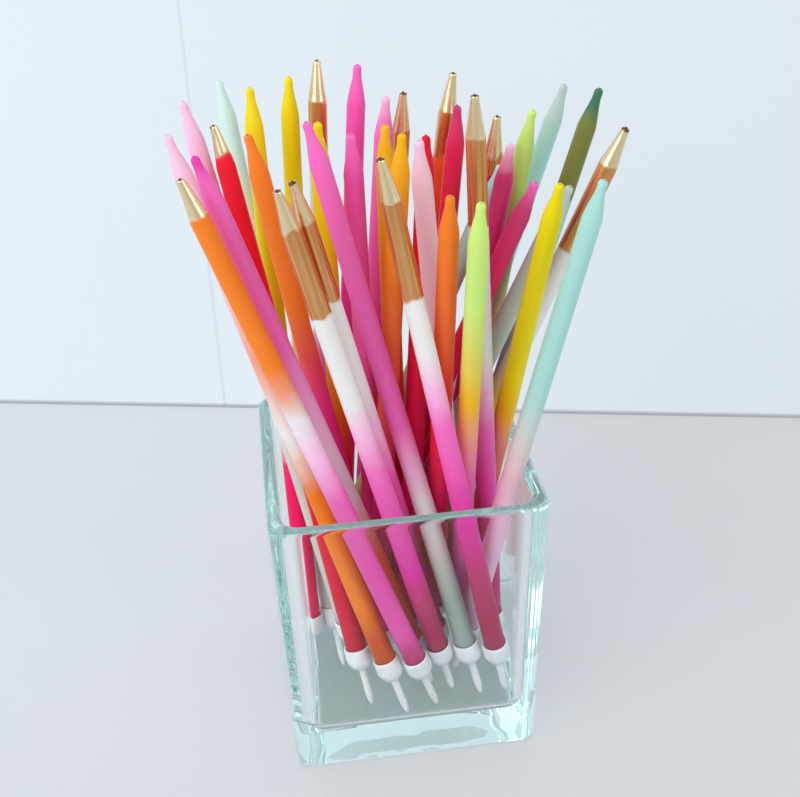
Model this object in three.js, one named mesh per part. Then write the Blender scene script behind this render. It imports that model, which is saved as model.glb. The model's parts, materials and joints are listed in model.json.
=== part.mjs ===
import * as THREE from "three";

// A square glass holding a bunch of long dipped candles, each standing in a plastic pick.
// Millimetres, +Z up. The glass stands on z = 0 and its front looks along -Y.

// Glass
const glassTop = 75;              // outer side of the square at the rim
const glassBottom = 71;           // outer side of the square at the table
const glassHeight = 85;
const glassWall = 4.2;
const glassFloor = 11;            // thick base
const glassCornerRadius = 5;
const cavityCornerRadius = 8;
const cavityFloorRound = 3;
const glassFootRound = 1.6;
const glassRimRound = 1.2;

// Candle
const waxDiameter = 6.2;          // at the foot
const waxTopDiameter = 5;         // at the shoulder
const candleLength = 158;         // from the mouth of the pick to the end of the nib
const waxFootStep = 0.3;          // how much thinner in radius the wax is inside the pick
const waxInPick = 4.6;
const waxConeLength = 7.5;
const nibLength = 2.9;
const nibDiameter = 2.4;
const wickDiameter = 1;
const wickAboveNib = 1.2;
const wickFromFoot = 0.6;         // the wick ends this far above the foot of the wax

// Pick
const pickFit = 0.3;              // clearance round and under the wax, and round the wick
const pickWall = 0.75;
const pickCupHeight = 7;
const pickCupTaper = 1.1;         // how much the cup narrows in radius at its bottom
const pickSpikeLength = 13;
const pickSpikeDiameter = 2.2;
const pickSpikeTipDiameter = 1.1;

// How the candles stand and lift
const candleGap = 0.35;           // least gap between two candles, and from a joined candle to the glass
const slideGap = 0.08;            // least gap between the envelopes of two candles when one lifts out
const frontWallGap = 2.3;         // least gap from the cup of a separate candle to the front and back walls
const sideWallGap = 1.2;          // the same to the side walls
const standGap = 0.3;             // gap drawn under each spike
const liftTravel = 85;            // pull that brings a spike above the rim

const frontSides = 16;            // facets round a front candle
const backSides = 12;             // facets round the others
const cornerSteps = 5;            // facets in each corner of the glass
const calmRounds = 750;           // rounds in which the candles are also drawn back to their places
const settleRounds = 6000;
const settleStep = 5;             // spacing of the places tested along a candle
const homePull = 0.01;            // share by which a loose candle is drawn back in a round
const sidewaysYield = 0.4;        // candles give way less readily sideways than front to back

const waxRadius = waxDiameter / 2;
const waxTopRadius = waxTopDiameter / 2;
const waxFootRadius = waxRadius - waxFootStep;
const boreRadius = wickDiameter / 2 + pickFit;
const pickBoreRadius = waxFootRadius + pickFit;
const pickCupRadius = pickBoreRadius + pickWall;
const pickHeight = pickSpikeLength + pickCupHeight;
const cupStart = pickSpikeLength + pickCupHeight * 0.35;   // where the cup reaches its full width

// The bunch: name, place of the pick's mouth (x, y), lean of the tip from it (x, y, in hundredths of
// the candle's length), how much shorter the candle is than the longest, and its main colour.
const frontCandles = [
  ["crimson", -27, 4, -11, 30, 0, "crimson"],
  ["ivory", -18, -6, -18, 8, 0, "ivory"],
  ["red", -16, -26, -18, 22, 5, "red"],
  ["amber", -8, -27, -28, 21, 0, "amber"],
  ["fuchsia", 2, -29, -32, 3, 2, "fuchsia"],
  ["orange", 4, -18, -32, -5, 0, "orange"],
  ["raspberry", 12, -25, -26, -10, 7, "raspberry"],
  ["sage", 20, -18, -25, 4, 0, "sage"],
  ["magenta", 25, -26, -19, -7, 5, "magenta"],
  ["cerise", 27, -14, -3, 0, 0, "cerise"],
];

const middleCandles = [
  ["olive", 20, 9, 28, 0, 0, "olive"],
  ["sea", 6, 27, 33, 1, 3, "sea"],
  ["gilt_white", 7, 15, 35, -12, 0, "gilt"],
  ["teal_rose", 19, -8, 20, -19, 10, "teal_rose"],
  ["lemon_peach", 25, 3, 9, -27, 12, "lemon_peach"],
  ["gilt_rose", 8, -11, -21, -14, 8, "gilt"],
  ["tangerine", -3, -7, -19, -3, 5, "tangerine"],
];

const backCandles = [
  ["cream", 12, -5, -6, -14, 4, "cream"],
  ["mist", 3, 12, 28, -16, 13, "mist"],
  ["ice", -26, 15, 45, -8, 13, "ice"],
  ["peach_rose", -4, 18, 31, -18, 13, "peach_rose"],
  ["lime", 8, -1, 5, -25, 13, "lime"],
  ["apricot", 2, 0, 6, -21, 13, "apricot"],
  ["lemon", -27, 16, -2, 0, 3, "lemon"],
  ["canary", -25, 25, 0, -2, 5, "canary"],
  ["tall_gold", -18, 23, 1, 8, 0, "gilt"],
  ["butter", -17, 9, 0, -12, 6, "butter"],
  ["magenta_back", -20, 28, 10, -3, 1, "magenta_back"],
  ["coral", -9, 4, 3, -12, 9, "coral"],
  ["rose", -10, 19, 9, -4, 6, "rose"],
  ["amber_back", -4, 3, 1, -10, 10, "amber_back"],
  ["maize", -14, -2, 12, -5, 8, "maize"],
  ["gold_mid", -1, 26, 10, -12, 7, "gilt"],
  ["gold_right", 4, 20, 10, -2, 3, "gilt"],
  ["flame", 3, 7, 7, -9, 12, "flame"],
  ["claret", 6, 19, 10, -11, 10, "claret"],
  ["petal", 14, 19, 13, -20, 13, "petal"],
  ["pistachio", 20, 28, 16, -12, 12, "pistachio"],
  ["gilt_plum", 23, 20, 9, -12, 13, "gilt"],
];

// How far the rounded floor edge narrows the inside at a height.
function floorInset(z) {
  const below = cavityFloorRound - (z - glassFloor);
  if (below <= 0) return 0;
  return cavityFloorRound - Math.sqrt(Math.max(cavityFloorRound ** 2 - below ** 2, 0));
}

function outerHalf(z) {
  return (glassBottom + (glassTop - glassBottom) * (z / glassHeight)) / 2;
}

// Half the inner width of the glass at a height.
function cavityHalf(z) {
  return outerHalf(z) - glassWall - floorInset(z);
}

// A candle's straight centre line. Places along it are counted from the tip of its spike.
function centreLine(row, stiffness, joined) {
  const [name, mouthX, mouthY, leanX, leanY, shorter, colour] = row;
  const length = candleLength - shorter;
  const home = { mouthX, mouthY, leanX: (leanX / 100) * length, leanY: (leanY / 100) * length };
  const line = { name, ...home, home, colour, stiffness, joined, length };
  updateLine(line);
  return line;
}

function updateLine(line) {
  const rise = Math.sqrt(line.length ** 2 - line.leanX ** 2 - line.leanY ** 2);
  line.up = new THREE.Vector3(line.leanX, line.leanY, rise).normalize();
  const tipDrop = (pickSpikeTipDiameter / 2) * Math.hypot(line.up.x, line.up.y);
  const mouthZ = glassFloor + standGap + pickHeight * line.up.z + tipDrop;
  line.start = new THREE.Vector3(line.mouthX, line.mouthY, mouthZ);
  line.start.addScaledVector(line.up, -pickHeight);
}

function shoulderPlace(line) {
  return pickHeight + line.length - nibLength - waxConeLength;
}

// Radius of the wax at a place: it narrows evenly from the mouth of the pick to the shoulder.
function waxRadiusAt(line, place) {
  const share = (place - pickHeight) / (shoulderPlace(line) - pickHeight);
  return waxRadius + (waxTopRadius - waxRadius) * Math.min(Math.max(share, 0), 1);
}

// Radius of a candle at a place, when it is lifted by some length.
function radiusAt(line, place, lift) {
  const along = place - lift;
  if (along < -pickSpikeTipDiameter) return 0;
  if (along < pickSpikeLength) return pickSpikeDiameter / 2;
  if (along < pickHeight + candleGap) return pickCupRadius;
  return waxRadiusAt(line, along);
}

// Widest radius that passes a place while the candle is lifted out.
function sweptRadius(line, place) {
  const cupPasses = place >= pickSpikeLength && place < pickHeight + candleGap + liftTravel;
  return cupPasses ? pickCupRadius : radiusAt(line, place, place > pickHeight ? liftTravel : 0);
}

// Radius of the envelope of a candle, which runs straight from spike to cup and from cup to shoulder.
function envelopeAt(line, place) {
  if (!line.joined) return radiusAt(line, place, 0);
  if (place > pickHeight + line.length) return 0;
  if (place < cupStart) return pickCupRadius * Math.max(place / cupStart, 0.15);
  if (place < pickHeight + settleStep) return pickCupRadius;
  const share = Math.min((place - pickHeight - settleStep) / (shoulderPlace(line) - pickHeight), 1);
  return pickCupRadius + (waxTopRadius - pickCupRadius) * share;
}

// Widest part of the envelope that passes a place while the candle is lifted out.
function sweptEnvelope(line, place) {
  if (place < cupStart) return envelopeAt(line, place);
  if (place < pickHeight + liftTravel) return pickCupRadius;
  return envelopeAt(line, place - liftTravel);
}

function neededDistance(lineA, placeA, lineB, placeB) {
  const liftA = sweptRadius(lineA, placeA) + radiusAt(lineB, placeB, 0);
  const liftB = radiusAt(lineA, placeA, 0) + sweptRadius(lineB, placeB);
  const liftBoth = radiusAt(lineA, placeA, liftTravel) + radiusAt(lineB, placeB, liftTravel);
  const slideA = sweptEnvelope(lineA, placeA) + envelopeAt(lineB, placeB);
  const slideB = envelopeAt(lineA, placeA) + sweptEnvelope(lineB, placeB);
  return Math.max(Math.max(liftA, liftB, liftBoth) + candleGap, Math.max(slideA, slideB) + slideGap);
}

// Move a line so that the point at a place shifts by about (x, y).
function push(line, place, x, y) {
  const share = Math.min(Math.max((place - pickHeight) / line.length, 0), 1);
  const mouthShare = 1 - share;
  const norm = mouthShare ** 2 + share ** 2;
  line.mouthX += (x * mouthShare) / norm;
  line.mouthY += (y * mouthShare) / norm;
  line.leanX += (x * (share - mouthShare)) / norm;
  line.leanY += (y * (share - mouthShare)) / norm;
}

// The next place to test along a candle. They are closer together where a cup is or is lifted to.
function nextPlace(place) {
  const fromCup = place > liftTravel ? place - liftTravel : place;
  const alongCup = fromCup > pickSpikeLength - settleStep && fromCup < pickHeight;
  return place + (alongCup ? settleStep * 0.3 : settleStep);
}

// Push two lines apart where they are closest to touching, and report what they lacked.
function separate(lineA, lineB) {
  const pointA = new THREE.Vector3();
  const between = new THREE.Vector3();
  const total = pickHeight + lineA.length + liftTravel;
  let worst = 0;
  let found = null;
  for (let placeA = 1; placeA < total; placeA = nextPlace(placeA)) {
    pointA.copy(lineA.start).addScaledVector(lineA.up, placeA);
    between.copy(pointA).sub(lineB.start);
    const placeB = between.dot(lineB.up);
    between.addScaledVector(lineB.up, -placeB);
    const distance = between.length();
    const spare = distance - 2 * pickCupRadius - candleGap;
    if (spare > 0) {
      placeA += spare;
      continue;
    }
    const lack = neededDistance(lineA, placeA, lineB, placeB) - distance;
    if (lack > worst && placeB > 0) {
      worst = lack;
      found = { placeA, placeB, x: between.x / distance, y: between.y / distance };
    }
  }
  if (found) {
    const shareA = lineB.stiffness / (lineA.stiffness + lineB.stiffness);
    const moveA = worst * 0.6 * shareA;
    const moveB = worst * 0.6 * (1 - shareA);
    const sideways = found.x * sidewaysYield;
    push(lineA, found.placeA, sideways * moveA, found.y * moveA);
    push(lineB, found.placeB, -sideways * moveB, -found.y * moveB);
    updateLine(lineA);
    updateLine(lineB);
  }
  return worst;
}

// Keep a line clear of the inner walls, also while its pick is pulled out past the rim.
function keepInside(line) {
  const point = new THREE.Vector3();
  let worst = 0;
  for (let place = 0.5; place < pickHeight + liftTravel; place = nextPlace(place)) {
    point.copy(line.start).addScaledVector(line.up, place);
    if (point.z > glassHeight + pickCupRadius) break;
    const radius = sweptRadius(line, place) / line.up.z;
    const half = cavityHalf(Math.min(point.z, glassHeight)) - radius;
    const corner = Math.max(cavityCornerRadius - radius - candleGap, 0.1);
    const acrossX = Math.abs(point.x) - (half - (line.joined ? candleGap : sideWallGap) - corner);
    const acrossY = Math.abs(point.y) - (half - (line.joined ? candleGap : frontWallGap) - corner);
    const reach = Math.hypot(Math.max(acrossX, 0), Math.max(acrossY, 0));
    const over = reach - corner;
    if (over <= 0) continue;
    const backX = (-Math.sign(point.x) * Math.max(acrossX, 0) * over) / reach;
    const backY = (-Math.sign(point.y) * Math.max(acrossY, 0) * over) / reach;
    push(line, place, backX, backY);
    updateLine(line);
    worst = Math.max(worst, over);
  }
  return worst;
}

// Draw a line back towards the place and lean it was given.
function pullHome(line, strength) {
  for (const key of Object.keys(line.home)) {
    line[key] += (line.home[key] - line[key]) * strength;
  }
  updateLine(line);
}

function settleRound(lines) {
  let worst = 0;
  for (let first = 0; first < lines.length; first += 1) {
    for (let second = first + 1; second < lines.length; second += 1) {
      worst = Math.max(worst, separate(lines[first], lines[second]));
    }
  }
  for (const line of lines) worst = Math.max(worst, keepInside(line));
  return worst;
}

// The candles' final lines: as given, but pushed apart until they all clear.
export function settledLines() {
  const lines = [
    ...frontCandles.map((row) => centreLine(row, 8, false)),
    ...middleCandles.map((row) => centreLine(row, 5, true)),
    ...backCandles.map((row) => centreLine(row, 1, true)),
  ];
  for (let round = 0; round < settleRounds; round += 1) {
    const calm = 1 - round / calmRounds;
    if (calm > 0) lines.forEach((line) => pullHome(line, homePull * calm * line.stiffness));
    const worst = settleRound(lines);
    if (calm <= 0 && worst < 0.01) break;
  }
  return lines;
}

const palette = {
  crimson: "#e0244f", ivory: "#e9e4dc", red: "#d81f3c", amber: "#f0862a", fuchsia: "#e64fb0",
  orange: "#f2742b", raspberry: "#c8386f", sage: "#a9b7a8", magenta: "#e254ae", cerise: "#cf3a86",
  cream: "#e8d6a4", tangerine: "#f2832e", coral: "#ee5a5f", peach_rose: "#e2557c",
  ice: "#d4ecdf", mist: "#c3cfc6", lemon_peach: "#f5e02e", teal_rose: "#a8dcd0",
  apricot: "#f39a3d", lime: "#cfe868", lemon: "#f6e63c", canary: "#f7ea55", butter: "#f5d93f",
  gilt: "#c79a5b", magenta_back: "#e34ba6", rose: "#f07fb4", amber_back: "#f2b02f",
  maize: "#f4c93a", flame: "#ef5f35", claret: "#b72346", petal: "#f28fb5",
  pistachio: "#cdea7a", sea: "#b4e0d8", olive: "#5f6f4c", pick: "#f2f2f4", wick: "#efe9dc",
};

// A closed body of revolution round +Z from [radius, height] points.
function turned(profile, sides) {
  const points = profile.map(([radius, height]) => new THREE.Vector2(radius, height));
  const geometry = new THREE.LatheGeometry(points, sides);
  geometry.rotateX(Math.PI / 2);
  return geometry;
}

// Stand a body that was built up from z = 0 on a candle's line, at a place along it.
function standOn(geometry, line, place) {
  const turn = new THREE.Quaternion().setFromUnitVectors(new THREE.Vector3(0, 0, 1), line.up);
  const foot = line.start.clone().addScaledVector(line.up, place);
  geometry.applyMatrix4(new THREE.Matrix4().compose(foot, turn, new THREE.Vector3(1, 1, 1)));
  return geometry;
}

function named(name, geometry, colour, options = {}) {
  const material = new THREE.MeshStandardMaterial({ color: colour, roughness: 0.5, ...options });
  const mesh = new THREE.Mesh(geometry, material);
  mesh.name = name;
  return mesh;
}

// Spike of a pick, from its tip up to the underside of the cup.
function spikeProfile() {
  return [
    [0, 0],
    [pickSpikeTipDiameter / 2, 0],
    [pickSpikeDiameter / 2, pickSpikeLength * 0.25],
    [pickSpikeDiameter / 2, pickSpikeLength],
  ];
}

function cupOutsideProfile() {
  return [
    [pickCupRadius - pickCupTaper, pickSpikeLength + 0.2],
    [pickCupRadius, pickSpikeLength + pickCupHeight * 0.35],
    [pickCupRadius, pickHeight],
  ];
}

// Upper end of a candle: side, cone and wax-coated nib, for a body whose nib ends at `end`.
function tipProfile(end) {
  const neck = end - nibLength;
  const shoulder = neck - waxConeLength;
  return [
    [waxTopRadius, shoulder - waxConeLength * 0.15],
    [waxTopRadius * 0.86, shoulder + waxConeLength * 0.3],
    [nibDiameter / 2, neck],
    [nibDiameter / 2, end],
  ];
}

function pickBody(line) {
  const floor = pickHeight - waxInPick - pickFit;
  const profile = [
    ...spikeProfile(),
    ...cupOutsideProfile(),
    [pickBoreRadius, pickHeight],
    [pickBoreRadius, floor],
    [0, floor],
  ];
  return standOn(turned(profile, frontSides), line, 0);
}

function waxBody(line) {
  const end = waxInPick + line.length - wickAboveNib;
  const profile = [
    [0, 0],
    [waxFootRadius, 0],
    [waxFootRadius, waxInPick + pickFit],
    [waxRadius, waxInPick + pickFit],
    ...tipProfile(end),
    [boreRadius, end],
    [boreRadius, wickFromFoot],
    [0, wickFromFoot],
  ];
  return standOn(turned(profile, frontSides), line, pickHeight - waxInPick);
}

function wickBody(line) {
  const radius = wickDiameter / 2;
  const foot = wickFromFoot + pickFit;
  const end = waxInPick + line.length;
  const profile = [
    [0, foot],
    [radius, foot],
    [radius, end - 0.4],
    [radius * 0.6, end],
    [0, end],
  ];
  return standOn(turned(profile, 8), line, pickHeight - waxInPick);
}

function joinedBody(line) {
  const profile = [
    ...spikeProfile(),
    ...cupOutsideProfile(),
    [waxRadius, pickHeight],
    ...tipProfile(pickHeight + line.length),
    [0, pickHeight + line.length],
  ];
  return standOn(turned(profile, backSides), line, 0);
}

// One level of the glass: a square with rounded corners, as points at a height.
function squareLoop(half, cornerRadius, z) {
  const radius = Math.min(cornerRadius, half);
  const centre = half - radius;
  const loop = [];
  for (let corner = 0; corner < 4; corner += 1) {
    const signX = corner === 0 || corner === 3 ? 1 : -1;
    const signY = corner < 2 ? 1 : -1;
    for (let step = 0; step <= cornerSteps; step += 1) {
      const angle = (corner + step / cornerSteps) * (Math.PI / 2);
      const x = signX * centre + radius * Math.cos(angle);
      const y = signY * centre + radius * Math.sin(angle);
      loop.push([x, y, z]);
    }
  }
  return loop;
}

// Skin a closed body over loops with equal point counts, capped flat at both ends.
function skinLoops(loops) {
  const count = loops[0].length;
  const positions = loops.flat(2);
  const indices = [];
  for (let level = 0; level + 1 < loops.length; level += 1) {
    for (let point = 0; point < count; point += 1) {
      const next = (point + 1) % count;
      const low = level * count;
      const high = low + count;
      indices.push(low + point, low + next, high + next);
      indices.push(low + point, high + next, high + point);
    }
  }
  const last = (loops.length - 1) * count;
  for (let point = 1; point + 1 < count; point += 1) {
    indices.push(0, point + 1, point);
    indices.push(last, last + point, last + point + 1);
  }
  const geometry = new THREE.BufferGeometry();
  geometry.setAttribute("position", new THREE.Float32BufferAttribute(positions, 3));
  geometry.setIndex(indices);
  return geometry;
}

function glassBody() {
  const foot = glassFootRound;
  const rim = glassRimRound;
  const outer = (z, inset) => squareLoop(outerHalf(z) - inset, glassCornerRadius - inset * 0.5, z);
  const inner = (z, inset) => {
    const half = outerHalf(z) - glassWall + inset;
    return squareLoop(half, cavityCornerRadius + inset * 0.5, z);
  };
  const loops = [
    outer(0, foot),
    outer(foot * 0.3, foot * 0.3),
    outer(foot, 0),
    outer(glassHeight - rim, 0),
    outer(glassHeight - rim * 0.3, rim * 0.3),
    outer(glassHeight, rim),
    inner(glassHeight, rim),
    inner(glassHeight - rim * 0.3, rim * 0.3),
    inner(glassHeight - rim, 0),
  ];
  for (const share of [1, 0.6, 0.25, 0.05, 0]) {
    const z = glassFloor + cavityFloorRound * share;
    loops.push(squareLoop(cavityHalf(z), cavityCornerRadius - floorInset(z) * 0.5, z));
  }
  return skinLoops(loops);
}

function build() {
  const group = new THREE.Group();
  group.name = "candle_glass";
  const glassLook = { transparent: true, opacity: 0.35, roughness: 0.05 };
  group.add(named("glass", glassBody(), "#cfe9e6", glassLook));
  const lines = settledLines();
  lines.slice(0, frontCandles.length).forEach((line) => {
    group.add(named(`pick_${line.name}`, pickBody(line), palette.pick));
    group.add(named(`wax_${line.name}`, waxBody(line), palette[line.colour]));
    group.add(named(`wick_${line.name}`, wickBody(line), palette.wick));
  });
  lines.slice(frontCandles.length).forEach((line) => {
    group.add(named(`candle_${line.name}`, joinedBody(line), palette[line.colour]));
  });
  return group;
}

export default build();
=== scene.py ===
# %% [markdown]
# # A bunch of dipped candles in a square glass
# About forty thin birthday candles stand in a heavy square glass. Each one is a wax taper that was dipped
# in two or three colours, with a wick inside, and its foot sits in the cup of a white plastic pick. The
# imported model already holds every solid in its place, so this lesson loads it first and dresses it.

# %% Load the frame and note its size
import json
import math
import random

import bmesh
import bpy
from mathutils import Matrix, Vector


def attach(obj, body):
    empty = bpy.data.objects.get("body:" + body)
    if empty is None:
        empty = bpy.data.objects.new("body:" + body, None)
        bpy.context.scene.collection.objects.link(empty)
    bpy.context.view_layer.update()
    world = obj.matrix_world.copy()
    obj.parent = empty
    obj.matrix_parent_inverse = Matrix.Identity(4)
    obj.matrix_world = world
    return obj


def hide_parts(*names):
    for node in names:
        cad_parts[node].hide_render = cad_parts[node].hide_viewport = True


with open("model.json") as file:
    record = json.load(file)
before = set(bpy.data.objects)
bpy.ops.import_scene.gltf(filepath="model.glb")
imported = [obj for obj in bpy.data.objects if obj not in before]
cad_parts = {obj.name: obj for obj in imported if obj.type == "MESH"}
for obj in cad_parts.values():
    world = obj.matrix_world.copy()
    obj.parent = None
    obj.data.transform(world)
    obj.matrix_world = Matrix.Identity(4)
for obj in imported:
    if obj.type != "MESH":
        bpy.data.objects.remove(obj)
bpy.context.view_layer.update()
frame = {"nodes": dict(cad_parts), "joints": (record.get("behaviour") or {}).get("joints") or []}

# A length times MM is in metres.
MM = 0.001
bpy.ops.object.select_all(action="DESELECT")

# %% [markdown]
# ## The camera
# The picture was taken from above the table, a little to the left of the middle, looking down by about
# 29 degrees. The place, the turns and the lens below were found by fitting the corners of the glass, so a
# point of the model lands on the same point of the picture.

# %% Camera at the photograph's angle
SENSOR_WIDTH_MM = 36.0
LENS_MM = 54.17
CAMERA_PLACE = Vector((-33.0, -291.4, 265.3)) * MM
CAMERA_YAW = -0.121
CAMERA_PITCH = 0.511
CAMERA_ROLL = -0.035
UP = Vector((0, 0, 1))


def camera_matrix():
    level_right = Vector((math.cos(CAMERA_YAW), math.sin(CAMERA_YAW), 0))
    level_ahead = Vector((-math.sin(CAMERA_YAW), math.cos(CAMERA_YAW), 0))
    ahead = level_ahead * math.cos(CAMERA_PITCH) - UP * math.sin(CAMERA_PITCH)
    above = UP * math.cos(CAMERA_PITCH) + level_ahead * math.sin(CAMERA_PITCH)
    right = level_right * math.cos(CAMERA_ROLL) + above * math.sin(CAMERA_ROLL)
    up = -level_right * math.sin(CAMERA_ROLL) + above * math.cos(CAMERA_ROLL)
    turn = Matrix((right, up, -ahead)).transposed()
    return Matrix.Translation(CAMERA_PLACE) @ turn.to_4x4()


lens = bpy.data.cameras.new("camera")
lens.lens = LENS_MM
lens.sensor_width = SENSOR_WIDTH_MM
lens.clip_start = 0.01
camera = bpy.data.objects.new("camera", lens)
bpy.context.scene.collection.objects.link(camera)
camera.matrix_world = camera_matrix()
bpy.context.scene.camera = camera
print("camera at", [round(value, 3) for value in camera.matrix_world.translation])

# %% [markdown]
# ## Enough bounces
# Light runs to and fro inside the walls of the glass many times. A path that is cut off too early leaves
# a dark streak there, so far more bounces are allowed than a scene without glass would need. The Standard
# view transform keeps the dyes of the wax as strong as they are typed.

# %% Bounces and view transform
LIGHT_BOUNCES = 64
bpy.context.scene.cycles.max_bounces = LIGHT_BOUNCES
bpy.context.scene.cycles.glossy_bounces = LIGHT_BOUNCES
bpy.context.scene.cycles.transmission_bounces = LIGHT_BOUNCES
bpy.context.scene.view_settings.view_transform = "Standard"
print("bounces", LIGHT_BOUNCES)

# %% [markdown]
# ## Working in edit mode from a script
# A primitive is only a start. These helpers do what a hand would do in edit mode: make one object the
# active one, choose faces or edges by where they are, and grow a shape step by step.

# %% Helpers for edit mode
# A face whose normal has more z than this looks up, and one with less than minus this looks down.
FACING = 0.9
# A point this near to a height, in metres, lies at that height.
HAIR = 1e-6


def make_active(piece):
    bpy.ops.object.select_all(action="DESELECT")
    piece.select_set(True)
    bpy.context.view_layer.objects.active = piece


def select_faces(piece, wanted):
    mesh = bmesh.from_edit_mesh(piece.data)
    for face in mesh.faces:
        face.select_set(False)
    for face in mesh.faces:
        if wanted(face):
            face.select_set(True)
    bmesh.update_edit_mesh(piece.data)


def select_edges(piece, wanted):
    mesh = bmesh.from_edit_mesh(piece.data)
    for face in mesh.faces:
        face.select_set(False)
    for edge in mesh.edges:
        edge.select_set(False)
    count = 0
    for edge in mesh.edges:
        if wanted(edge):
            edge.select_set(True)
            count += 1
    bmesh.update_edit_mesh(piece.data)
    return count


def apply_modifiers(piece):
    make_active(piece)
    for name in [modifier.name for modifier in piece.modifiers]:
        bpy.ops.object.modifier_apply(modifier=name)


# %% [markdown]
# ## Turned shapes
# A taper, a pick and a wick are all round. Instead of spinning a profile, each starts as a short cylinder,
# and its top face is extruded and resized again and again, the way a potter raises a wall. The list of
# heights and radii then reads like a drawing of the piece, from its foot to its tip.

# %% Raise a round piece ring by ring
def raise_turned(name, profile, sides):
    """profile holds (height, radius) in millimetres, from the foot up; it may turn back down into a bore."""
    rings = [(height * MM, radius * MM) for height, radius in profile]
    (foot, foot_radius), (first, first_radius) = rings[0], rings[1]
    bpy.ops.object.select_all(action="DESELECT")
    bpy.ops.mesh.primitive_cylinder_add(vertices=sides, radius=foot_radius, depth=first - foot)
    piece = bpy.context.object
    piece.name = name
    bpy.ops.object.mode_set(mode="EDIT")
    bpy.ops.mesh.select_all(action="SELECT")
    bpy.ops.transform.translate(value=(0, 0, (foot + first) / 2))
    select_faces(piece, lambda face: face.normal.z > FACING)
    grow = first_radius / foot_radius
    bpy.ops.transform.resize(value=(grow, grow, 1), center_override=(0, 0, first))
    height, radius = first, first_radius
    for next_height, next_radius in rings[2:]:
        bpy.ops.mesh.extrude_region_move(TRANSFORM_OT_translate={"value": (0, 0, next_height - height)})
        grow = next_radius / radius
        bpy.ops.transform.resize(value=(grow, grow, 1), center_override=(0, 0, next_height))
        height, radius = next_height, next_radius
    bpy.ops.object.mode_set(mode="OBJECT")
    return piece


# %% [markdown]
# ## The taper
# The wax is 6.2 mm thick at the mouth of the pick and narrows evenly to 5 mm at the shoulder. Its foot is
# turned down a little where it goes into the pick. Above the shoulder it is pointed like a pencil. Most
# points end in a thin nib, where the wax only coats the wick. The gilt ones run straight to a blunt end.

# %% Sizes of a candle, counted from the tip of the pick's spike
WAX_FOOT = 15.4
CUP_MOUTH = 20.0
MODEL_LENGTH = 158.0
WAX_RADIUS = 3.1
SHOULDER_RADIUS = 2.5
FOOT_RADIUS = 2.8
WICK_PROUD = 0.3
FOOT_ENDS = CUP_MOUTH + 0.25
EDGE_STARTS = CUP_MOUTH + 0.3
BODY_STARTS = CUP_MOUTH + 0.5
EDGE_ROUND = 0.08
BODY_STEP = 6.5
TAPER_SIDES = 24
POINT_LENGTH = 10.4

# The point of a taper, as (distance below its end, radius).
NIB_POINT = [(POINT_LENGTH, SHOULDER_RADIUS), (9.9, 2.47), (9.3, 2.38), (8.2, 2.2), (6.4, 1.86), (4.8, 1.54),
             (3.7, 1.31), (2.9, 1.19), (1.9, 1.14), (1.0, 1.14), (0.45, 1.05), (0.12, 0.84), (0, 0.55)]
BLUNT_POINT = [(POINT_LENGTH, SHOULDER_RADIUS), (10.15, 2.48), (9.9, 2.42), (8.0, 2.12), (5.0, 1.66),
               (2.6, 1.3), (0.8, 1.06), (0.2, 1.02), (0.06, 0.94), (0, 0.8)]


def taper_profile(point):
    end = CUP_MOUTH + MODEL_LENGTH - WICK_PROUD
    shoulder = end - POINT_LENGTH
    profile = [(WAX_FOOT, FOOT_RADIUS), (FOOT_ENDS, FOOT_RADIUS), (EDGE_STARTS, WAX_RADIUS - EDGE_ROUND)]
    steps = round((shoulder - BODY_STARTS) / BODY_STEP)
    for step in range(steps):
        share = step / steps
        radius = WAX_RADIUS + (SHOULDER_RADIUS - WAX_RADIUS) * share
        profile.append((BODY_STARTS + (shoulder - BODY_STARTS) * share, radius))
    return profile + [(end - below, radius) for below, radius in point]


nib_model = raise_turned("nib_model", taper_profile(NIB_POINT), TAPER_SIDES)
blunt_model = raise_turned("blunt_model", taper_profile(BLUNT_POINT), TAPER_SIDES)
print("taper", [round(value / MM, 1) for value in nib_model.dimensions], "mm")

# %% [markdown]
# ## The pick
# The pick is one moulding of white plastic: a thin-walled cup with a rounded mouth that holds the foot of
# the wax, a tapered underside, and a thin spike with a blunt point. The bore is made by turning the same
# profile over the rim and back down.

# %% Pick with its bore
PICK_SIDES = 24


def pick_profile():
    profile = [(0, 0.3), (0.18, 0.52), (1.2, 0.78), (3.2, 1.08), (6.0, 1.1), (9.5, 1.1), (12.4, 1.12)]
    profile += [(12.9, 1.3), (13.1, 1.9), (13.25, 2.6), (13.7, 2.95), (14.5, 3.4), (15.45, 3.78)]
    profile += [(16.2, 3.85), (18.8, 3.85), (19.6, 3.82), (19.9, 3.72), (CUP_MOUTH, 3.55), (CUP_MOUTH, 3.3)]
    profile += [(19.85, 3.15), (19.4, 3.1), (15.4, 3.1), (15.15, 2.9), (15.1, 1.0)]
    return profile


pick_model = raise_turned("pick_model", pick_profile(), PICK_SIDES)
print("pick", [round(value / MM, 1) for value in pick_model.dimensions], "mm")

# %% [markdown]
# ## The wick
# A cotton wick is a cord of twisted strands. Five ridges round a thin rod, turned a little at each ring,
# give the twist. Only its cut end shows at the nib; the rest runs down inside the wax.

# %% Twisted wick
WICK_RADIUS = 0.5
WICK_SIDES = 10
WICK_FOOT = 16.3
WICK_TWIST = math.radians(24)
HIDDEN_RINGS = [WICK_FOOT, WICK_FOOT + 2, 60, 100, 140]
TWISTED_END = 6.0
RING_STEP = 0.45
RINGS = 13
CUT_BEVEL = 0.25
CUT_SHARE = 0.72
STRAND_SINK = 0.78


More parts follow.
